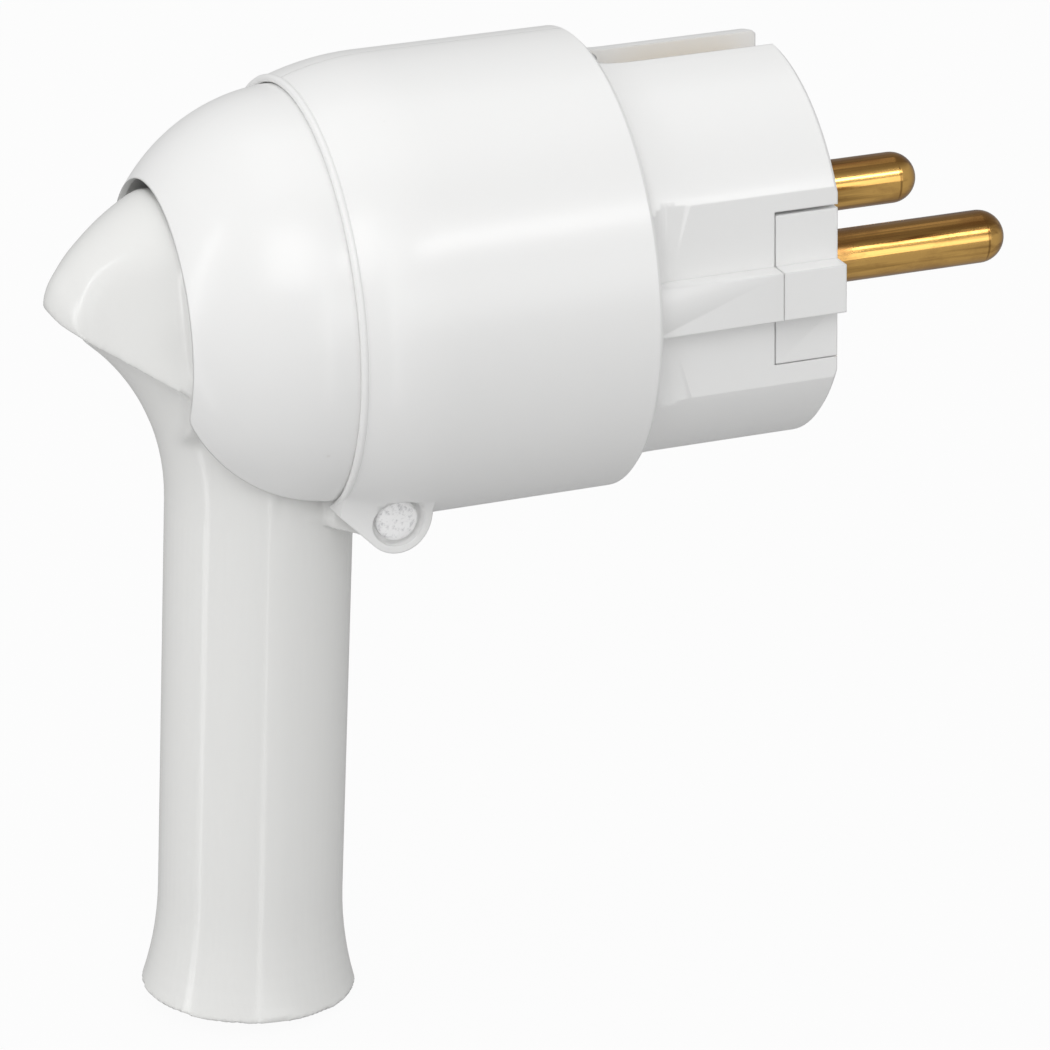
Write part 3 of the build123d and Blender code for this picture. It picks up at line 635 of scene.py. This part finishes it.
@dataclass
class SkinnedNode:
    """One CAD node and the smooth skin that stands for it."""

    node: str
    body: Body
    slot: Slot
    sharp_degrees: float = 14.0
    flat_weight: int = 80

    def build(self, frame: dict, wardrobe: Wardrobe) -> bpy.types.Object:
        """Make the skin, dress it and fasten it to its body.

        The solid's triangles are joined at their corners, so that the surface is smooth up to
        the angle at which an edge counts as sharp, and large faces keep their own direction.

        Args:
            wardrobe: The materials.

        Returns:
            The skin.
        """
        mesh = frame["nodes"][self.node].data.copy()
        mesh.name = f"{self.node}_skin"
        welded = bmesh.new()
        welded.from_mesh(mesh)
        bmesh.ops.remove_doubles(welded, verts=welded.verts, dist=WELD_DISTANCE)
        bmesh.ops.dissolve_degenerate(welded, edges=welded.edges, dist=WELD_DISTANCE)
        welded.to_mesh(mesh)
        welded.free()
        skin = add_object(f"{self.node}_skin", mesh)
        self.reshape(skin)
        mesh = skin.data
        mesh.shade_smooth()
        mesh.set_sharp_from_angle(angle=math.radians(self.sharp_degrees))
        flat = skin.modifiers.new("flat_faces", "WEIGHTED_NORMAL")
        flat.mode = "FACE_AREA"
        flat.weight = self.flat_weight
        flat.keep_sharp = True
        wardrobe.dress(skin, self.slot)
        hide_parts(self.node)
        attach(skin, self.body.value)
        log.info("%s: %d faces", skin.name, len(mesh.polygons))
        return skin

    def reshape(self, skin: bpy.types.Object) -> None:
        """Leave the solid's shape as it is. Skins with softer forms change this.

        Args:
            skin: The skin as joined from its solid.
        """


@dataclass
class SoftLever(SkinnedNode):
    """The lever's skin: an even mesh with softened ridges and corners, most of all on the beak."""

    grid: float = 0.25 * MM
    pull: float = 0.5
    rounds: int = 5
    weight_steps: int = 10

    ridge_rounds: int = 60
    ridge_front: float = -54.5 * MM
    ridge_front_fade: float = 1.0 * MM
    ridge_back: float = -65.5 * MM
    ridge_back_fade: float = 2.0 * MM
    ridge_low: float = -16.5 * MM
    ridge_low_fade: float = 1.0 * MM
    edge_front: float = -58.5 * MM
    edge_fade: float = 1.5 * MM

    groove_start: float = -61.5 * MM
    groove_end: float = -56.5 * MM
    groove_front: float = -52.5 * MM
    groove_depth: float = 0.8 * MM
    groove_rise: float = 4.0 * MM
    groove_top: float = 2.0 * MM
    groove_top_end: float = -2.0 * MM
    groove_side: float = 3.0 * MM
    groove_side_end: float = 5.0 * MM

    underside_start: tuple[float, float] = (-67.65 * MM, 1.36 * MM)
    underside_slope: float = 31.4
    throat_start: float = -64.6 * MM

    crisp_below: float = -17.0 * MM
    crisp_fade: float = 2.0 * MM

    tube_axis: float = -47.91 * MM
    tube_lean: float = 3.4
    tube_radius: float = 8.42 * MM
    cheek_top: float = -11.5 * MM
    cheek_bottom: float = -26.0 * MM
    cheek_back: float = -1.0 * MM
    cheek_front: float = -44.9 * MM

    def apply_modifiers(self, skin: bpy.types.Object) -> None:
        """Turn what the skin's modifiers give into its mesh, and drop its weights.

        Args:
            skin: The skin, whose modifiers are taken off.
        """
        depsgraph = bpy.context.evaluated_depsgraph_get()
        mesh = bpy.data.meshes.new_from_object(skin.evaluated_get(depsgraph))
        mesh.name = skin.data.name
        skin.modifiers.clear()
        skin.data = mesh
        skin.vertex_groups.clear()

    def weigh(self, skin: bpy.types.Object, name: str, weights: np.ndarray) -> None:
        """Store how strongly each vertex of the skin follows a modifier.

        Args:
            skin: The skin.
            name: The name of the new vertex group.
            weights: One weight for each vertex.
        """
        group = skin.vertex_groups.new(name=name)
        levels = np.round(weights * self.weight_steps).astype(int)
        for level in range(1, self.weight_steps + 1):
            members = np.flatnonzero(levels == level).tolist()
            group.add(members, level / self.weight_steps, "REPLACE")

    def smooth(self, skin: bpy.types.Object, rounds: int, group: str = "") -> None:
        """Relax the skin.

        Args:
            skin: The skin.
            rounds: How often each vertex moves towards the middle of its neighbours.
            group: The vertices that move, or an empty name for all.
        """
        relax = skin.modifiers.new("relax", "SMOOTH")
        relax.factor = self.pull
        relax.iterations = rounds
        relax.vertex_group = group
        self.apply_modifiers(skin)

    def remesh(self, skin: bpy.types.Object) -> None:
        """Give the skin a mesh of even, small faces.

        Args:
            skin: The skin.
        """
        even = skin.modifiers.new("even", "REMESH")
        even.mode = "VOXEL"
        even.voxel_size = self.grid
        self.apply_modifiers(skin)

    def over_underside(self, points: np.ndarray) -> np.ndarray:
        """Measure how far each point lies over the plane of the beak's underside.

        Args:
            points: One row for each vertex.

        Returns:
            Heights, negative under the plane.
        """
        start_x, start_z = self.underside_start
        fall = (points[:, 0] - start_x) * math.tan(math.radians(self.underside_slope))
        return points[:, 2] - start_z + fall

    def trim_cheeks(self, points: np.ndarray) -> None:
        """Lay the cheeks of the knuckle flush with the tube where they would show beside it.

        Args:
            points: One row for each vertex, which is moved.
        """
        lean = math.radians(self.tube_lean)
        x, y, z = points.T
        across = (x - self.tube_axis) * math.cos(lean) - z * math.sin(lean)
        reach = np.hypot(across, y)
        proud = (reach > self.tube_radius) & (across > self.cheek_back) & (x < self.cheek_front)
        proud &= (z < self.cheek_top) & (z > self.cheek_bottom)
        scale = np.where(proud, self.tube_radius / np.maximum(reach, MM), 1.0)
        shift = across * scale - across
        points[:, 0] += shift * math.cos(lean)
        points[:, 2] -= shift * math.sin(lean)
        points[:, 1] *= scale

    def shape_beak(self, points: np.ndarray) -> None:
        """Cut the throat level with the underside at the tip and hollow the beak beside the dome.

        Args:
            points: One row for each vertex, which is moved.
        """
        over = self.over_underside(points)
        sunk = (points[:, 0] < self.throat_start) & (over < 0.0)
        points[sunk, 2] -= over[sunk]
        x, y, z = points.T
        along = ramp(x, self.groove_start, self.groove_end)
        depth = self.groove_depth * along * along * (3.0 - 2.0 * along)
        depth *= ramp(over, 0.0, self.groove_rise) * ramp(z, self.groove_top, self.groove_top_end)
        depth *= ramp(np.abs(y), self.groove_side, self.groove_side_end)
        beside = (x < self.groove_front) & (over > 0.0)
        points[:, 1] -= np.sign(y) * np.where(beside, depth, 0.0)

    def soften_ridge(self, skin: bpy.types.Object) -> None:
        """Relax the beak's ridge and its root, but not its tip or its lower edge.

        Args:
            skin: The skin.
        """
        points = read_points(skin.data)
        x, _, z = points.T
        weights = ramp(x, self.ridge_front + self.ridge_front_fade, self.ridge_front)
        weights *= ramp(x, self.ridge_back, self.ridge_back + self.ridge_back_fade)
        weights *= ramp(z, self.ridge_low, self.ridge_low + self.ridge_low_fade)
        edge = ramp(self.over_underside(points), 0.0, self.edge_fade)
        weights *= np.where(x < self.edge_front, edge, 1.0)
        self.weigh(skin, "ridge", weights)
        self.smooth(skin, self.ridge_rounds, "ridge")

    def restore_tube(self, skin: bpy.types.Object, solid: bpy.types.Object) -> None:
        """Lay the handle's tube back on its solid, so that its long forms stay true.

        Args:
            skin: The skin.
            solid: An object with the solid's own mesh.
        """
        z = read_points(skin.data)[:, 2]
        self.weigh(skin, "grip", ramp(z, self.crisp_below, self.crisp_below - self.crisp_fade))
        crisp = skin.modifiers.new("crisp", "SHRINKWRAP")
        crisp.target = solid
        crisp.wrap_method = "NEAREST_SURFACEPOINT"
        crisp.vertex_group = "grip"
        self.apply_modifiers(skin)

    def reshape(self, skin: bpy.types.Object) -> None:
        """Give the skin an even mesh and soften it.

        Args:
            skin: The skin as joined from its solid.
        """
        solid = add_object("lever_solid", skin.data.copy())
        self.remesh(skin)
        points = read_points(skin.data)
        self.trim_cheeks(points)
        self.shape_beak(points)
        write_points(skin.data, points)
        self.smooth(skin, self.rounds)
        self.soften_ridge(skin)
        self.restore_tube(skin, solid)
        bpy.data.objects.remove(solid)


@dataclass
class PeenedPin(SkinnedNode):
    """The hinge pin's skin, whose ends draw in a little from the lugs' holes."""

    end_scale: float = 0.88
    end_depth: float = 0.05 * MM

    def reshape(self, skin: bpy.types.Object) -> None:
        """Draw the two end faces in round their middle.

        Args:
            skin: The skin as joined from its solid.
        """
        points = read_points(skin.data)
        middle = 0.5 * (points.min(axis=0) + points.max(axis=0))
        out = np.abs(points[:, 1])
        ends = out > out.max() - self.end_depth
        for axis in (0, 2):
            points[ends, axis] = middle[axis] + (points[ends, axis] - middle[axis]) * self.end_scale
        write_points(skin.data, points)


@dataclass
class CollarBead:
    """The rounded lip along the rear edges of the collar's shells."""

    place: float = -45.12 * MM
    radius: float = 19.14 * MM
    thickness: float = 0.36 * MM
    gap_degrees: float = 33.0
    end_power: int = 24
    end_size: float = 0.05
    steps: int = 220
    sides: int = 14

    def section_points(self) -> np.ndarray:
        """Lay a small round section at each step along the lip, smaller at its two ends.

        Returns:
            One row for each point, section by section.
        """
        gap = math.radians(self.gap_degrees)
        turns = np.linspace(gap, 2.0 * math.pi - gap, self.steps)
        span = 2.0 * np.arange(self.steps) / (self.steps - 1) - 1.0
        swell = np.sqrt(np.clip(1.0 - span**self.end_power, 0.0, 1.0))
        size = self.thickness * np.maximum(swell, self.end_size)[:, None]
        around = np.linspace(0.0, 2.0 * math.pi, self.sides, endpoint=False)
        out = self.radius + size * np.sin(around)[None, :]
        x = self.place + size * np.cos(around)[None, :]
        y = out * np.sin(turns)[:, None]
        z = -out * np.cos(turns)[:, None]
        return np.stack([x, y, z], axis=-1).reshape(-1, 3)

    def faces(self) -> list[tuple[int, ...]]:
        """Join the sections with four-sided faces and close both ends.

        Returns:
            The numbers of each face's corners.
        """
        faces = []
        for step in range(self.steps - 1):
            near, far = step * self.sides, (step + 1) * self.sides
            for side in range(self.sides):
                after = (side + 1) % self.sides
                faces.append((near + side, near + after, far + after, far + side))
        last = (self.steps - 1) * self.sides
        faces.append(tuple(reversed(range(self.sides))))
        faces.append(tuple(last + side for side in range(self.sides)))
        return faces

    def build(self, wardrobe: Wardrobe) -> bpy.types.Object:
        """Make the bead, open at the hinge.

        Args:
            wardrobe: The materials.

        Returns:
            The bead.
        """
        mesh = bpy.data.meshes.new("collar_bead")
        mesh.from_pydata(self.section_points().tolist(), [], self.faces())
        turned = bmesh.new()
        turned.from_mesh(mesh)
        bmesh.ops.recalc_face_normals(turned, faces=turned.faces)
        turned.to_mesh(mesh)
        turned.free()
        mesh.shade_smooth()
        bead = add_object("collar_bead", mesh)
        wardrobe.dress(bead, Slot.BODY_WHITE)
        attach(bead, Body.PLUG.value)
        log.info("%s: %d faces", bead.name, len(mesh.polygons))
        return bead


@dataclass
class Skins:
    """A sub-assembly of skinned pieces."""

    pieces: tuple[SkinnedNode, ...]

    def build(self, frame: dict, wardrobe: Wardrobe) -> None:
        """Make all the skins.

        Args:
            wardrobe: The materials.
        """
        for piece in self.pieces:
            piece.build(frame, wardrobe)


@dataclass
class Housing(Skins):
    """The still mouldings: nose, collar shells with their bead, and dome."""

    pieces: tuple[SkinnedNode, ...] = (
        SkinnedNode("nose", Body.PLUG, Slot.BODY_WHITE),
        SkinnedNode("collar_shell_right", Body.PLUG, Slot.BODY_WHITE),
        SkinnedNode("collar_shell_left", Body.PLUG, Slot.BODY_WHITE),
        SkinnedNode("dome", Body.PLUG, Slot.BODY_WHITE),
    )
    bead: CollarBead = field(default_factory=CollarBead)

    def build(self, frame: dict, wardrobe: Wardrobe) -> None:
        """Make all the skins and the bead.

        Args:
            wardrobe: The materials.
        """
        super().build(frame, wardrobe)
        self.bead.build(wardrobe)


@dataclass
class MovingParts(Skins):
    """The lever and the ejector that it pushes."""

    pieces: tuple[SkinnedNode, ...] = (
        SoftLever("lever", Body.LEVER, Slot.LEVER_WHITE, sharp_degrees=60.0),
        SkinnedNode("ejector", Body.EJECTOR, Slot.BODY_WHITE),
    )


@dataclass
class Metalwork(Skins):
    """Pins, contacts and screws, and the inner mouldings that hold them."""

    pieces: tuple[SkinnedNode, ...] = (
        SkinnedNode("line_pin_right", Body.PLUG, Slot.PIN_BRASS),
        SkinnedNode("line_pin_left", Body.PLUG, Slot.PIN_BRASS),
        PeenedPin("hinge_pin", Body.PLUG, Slot.HINGE_STEEL),
        SkinnedNode("earth_strap", Body.PLUG, Slot.TERMINAL_BRASS),
    )
    plain_nodes: dict[str, Slot] = field(
        default_factory=lambda: {
            "earth_sleeve": Slot.TERMINAL_BRASS,
            "earth_terminal": Slot.TERMINAL_BRASS,
            "terminal_screws": Slot.STEEL,
            "retainer_screws": Slot.STEEL,
            "closing_screws": Slot.STEEL,
            "cord_clamp_screws": Slot.STEEL,
            "terminal_retainer": Slot.INNER_WHITE,
            "cord_clamp": Slot.INNER_WHITE,
        }
    )

    def build(self, frame: dict, wardrobe: Wardrobe) -> None:
        """Make the skins and give the solids that keep their shape their finish.

        Args:
            wardrobe: The materials.
        """
        super().build(frame, wardrobe)
        for node, slot in self.plain_nodes.items():
            wardrobe.dress(frame["nodes"][node], slot)
            log.info("%s: keeps its solid", node)


@dataclass(frozen=True)
class PhotoCamera:
    """The camera at the photograph's angle. Angles are in degrees, lens and sensor in millimetres."""

    azimuth: float = -20.424
    elevation: float = 21.433
    roll: float = -1.084
    distance: float = 488.12 * MM
    target: tuple[float, float, float] = (-23.817 * MM, 0.0, -25.061 * MM)
    lens: float = 184.17
    sensor: float = 36.0
    clip_start: float = 0.01

    def axes(self) -> tuple[Vector, Vector, Vector]:
        """Work out the camera's right, up and back directions.

        Returns:
            Three unit vectors in the frame.
        """
        turn, tilt, roll = (math.radians(v) for v in (self.azimuth, self.elevation, self.roll))
        flat = math.cos(tilt)
        back = Vector((math.sin(turn) * flat, -math.cos(turn) * flat, math.sin(tilt)))
        level = Vector((math.cos(turn), math.sin(turn), 0.0))
        upright = back.cross(level)
        right = level * math.cos(roll) + upright * math.sin(roll)
        return right, back.cross(right), back

    def build(self) -> None:
        """Place the camera and make it the scene's."""
        right, up, back = self.axes()
        data = bpy.data.cameras.new("photo_camera")
        data.lens = self.lens
        data.sensor_width = self.sensor
        data.clip_start = self.clip_start
        camera = add_object("photo_camera", data)
        stand = Matrix.Translation(Vector(self.target) + back * self.distance)
        turn = Matrix((right, up, back)).transposed()
        camera.matrix_world = stand @ turn.to_4x4()
        bpy.context.scene.camera = camera


@dataclass(frozen=True)
class Lamp:
    """A soft lamp: its place, width and height in metres, and its power in watts."""

    name: str
    place: tuple[float, float, float]
    size: tuple[float, float]
    watts: float
    glint_only: bool = False

    def build(self, target: Vector) -> None:
        """Hang the lamp so that it faces the object.

        Args:
            target: The point that it faces.
        """
        data = bpy.data.lights.new(self.name, "AREA")
        data.shape = "RECTANGLE"
        data.size, data.size_y = self.size
        data.energy = self.watts
        lamp = add_object(self.name, data)
        lamp.location = self.place
        lamp.visible_diffuse = not self.glint_only
        towards = target - Vector(self.place)
        lamp.rotation_euler = towards.to_track_quat("-Z", "Y").to_euler()


@dataclass
class Studio:
    """Floor, world, lamps and camera."""

    camera: PhotoCamera = field(default_factory=PhotoCamera)
    lamps: tuple[Lamp, ...] = (
        Lamp("key", (-0.45, -0.75, 0.65), (0.5, 0.6), 2.45),
        Lamp("left_strip", (-0.92, -0.09, -0.03), (0.1, 1.6), 2.2),
        Lamp("front_strip", (-0.14, -0.82, -0.03), (0.05, 1.6), 1.1),
        Lamp("top", (0.0, 0.1, 0.9), (0.8, 0.8), 1.2),
        Lamp("pin_glint", (0.29, -0.68, 0.5), (0.6, 0.12), 1.3, glint_only=True),
        Lamp("front_low", (0.25, -0.85, 0.12), (0.7, 0.34), 0.8, glint_only=True),
    )
    floor_drop: float = 0.4 * MM
    floor_size: float = 3.0
    floor_colour: tuple[float, float, float] = (0.55, 0.55, 0.55)
    floor_roughness: float = 0.8
    floor_shine: float = 0.1
    floor_white: float = 0.95
    ambient: float = 0.69
    mirrored_ambient: float = 0.4

    def floor_material(self) -> bpy.types.Material:
        """Make the floor pale, nearly white to the camera and open to reflections.

        Returns:
            The material.
        """
        finish = Finish("floor", self.floor_colour, self.floor_roughness)
        material, graph, shader = finish.start()
        shader.inputs["Specular IOR Level"].default_value = self.floor_shine
        path = graph.add("ShaderNodeLightPath")
        white = graph.add("ShaderNodeEmission", {"Strength": 1.0})
        pale = graph.add(
            "ShaderNodeMixShader",
            {
                "Fac": graph.maths("MULTIPLY", path.outputs["Is Camera Ray"], self.floor_white),
                1: shader.outputs["BSDF"],
                2: white.outputs["Emission"],
            },
        )
        mirrored = graph.add(
            "ShaderNodeMixShader",
            {
                "Fac": path.outputs["Is Glossy Ray"],
                1: pale.outputs["Shader"],
                2: graph.add("ShaderNodeBsdfTransparent").outputs["BSDF"],
            },
        )
        output = material.node_tree.nodes["Material Output"]
        graph.fill(output, {"Surface": mirrored.outputs["Shader"]})
        return material

    def build_floor(self, lowest: float) -> None:
        """Lay a pale floor just under the object.

        Args:
            lowest: The height of the object's lowest point.
        """
        half = self.floor_size / 2
        level = lowest - self.floor_drop
        signs = ((-1, -1), (1, -1), (1, 1), (-1, 1))
        corners = [(x * half, y * half, level) for x, y in signs]
        mesh = bpy.data.meshes.new("floor")
        mesh.from_pydata(corners, [], [(0, 1, 2, 3)])
        mesh.materials.append(self.floor_material())
        floor = add_object("floor", mesh)
        floor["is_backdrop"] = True

    def build_world(self) -> None:
        """Light the scene from all round and show white where the camera looks past the floor."""
        world = bpy.data.worlds.new("studio")
        world.use_nodes = True
        bpy.context.scene.world = world
        graph = Graph(world.node_tree)
        graph.tree.nodes.clear()
        path = graph.add("ShaderNodeLightPath")
        calm = graph.add(
            "ShaderNodeMapRange",
            {
                "Value": path.outputs["Is Glossy Ray"],
                "To Min": self.ambient,
                "To Max": self.mirrored_ambient,
            },
        )
        soft = graph.add(
            "ShaderNodeBackground", {"Color": WHITE, "Strength": calm.outputs["Result"]}
        )
        white = graph.add("ShaderNodeBackground", {"Color": WHITE, "Strength": 1.0})
        mix = graph.add(
            "ShaderNodeMixShader",
            {
                "Fac": path.outputs["Is Camera Ray"],
                1: soft.outputs["Background"],
                2: white.outputs["Background"],
            },
        )
        graph.add("ShaderNodeOutputWorld", {"Surface": mix.outputs["Shader"]})

    def build(self, lowest: float) -> None:
        """Set up the whole studio.

        Args:
            lowest: The height of the object's lowest point.
        """
        bpy.context.scene.view_settings.view_transform = "Standard"
        self.build_floor(lowest)
        self.build_world()
        for lamp in self.lamps:
            lamp.build(Vector(self.camera.target))
        self.camera.build()


def plain(box: tuple) -> list[list[float]]:
    """Turn a box of vectors into plain lists.

    Args:
        box: The box's two corners.

    Returns:
        The corners as lists of numbers.
    """
    return [[float(v) for v in corner] for corner in box]


def main() -> None:
    """Build the scene in order."""
    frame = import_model()
    solid_box = plain(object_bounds())
    wardrobe = Wardrobe()
    Housing().build(frame, wardrobe)
    MovingParts().build(frame, wardrobe)
    Metalwork().build(frame, wardrobe)
    Studio().build(solid_box[0][2])
    log.info("boxes written")


if __name__ == "__main__":
    main()
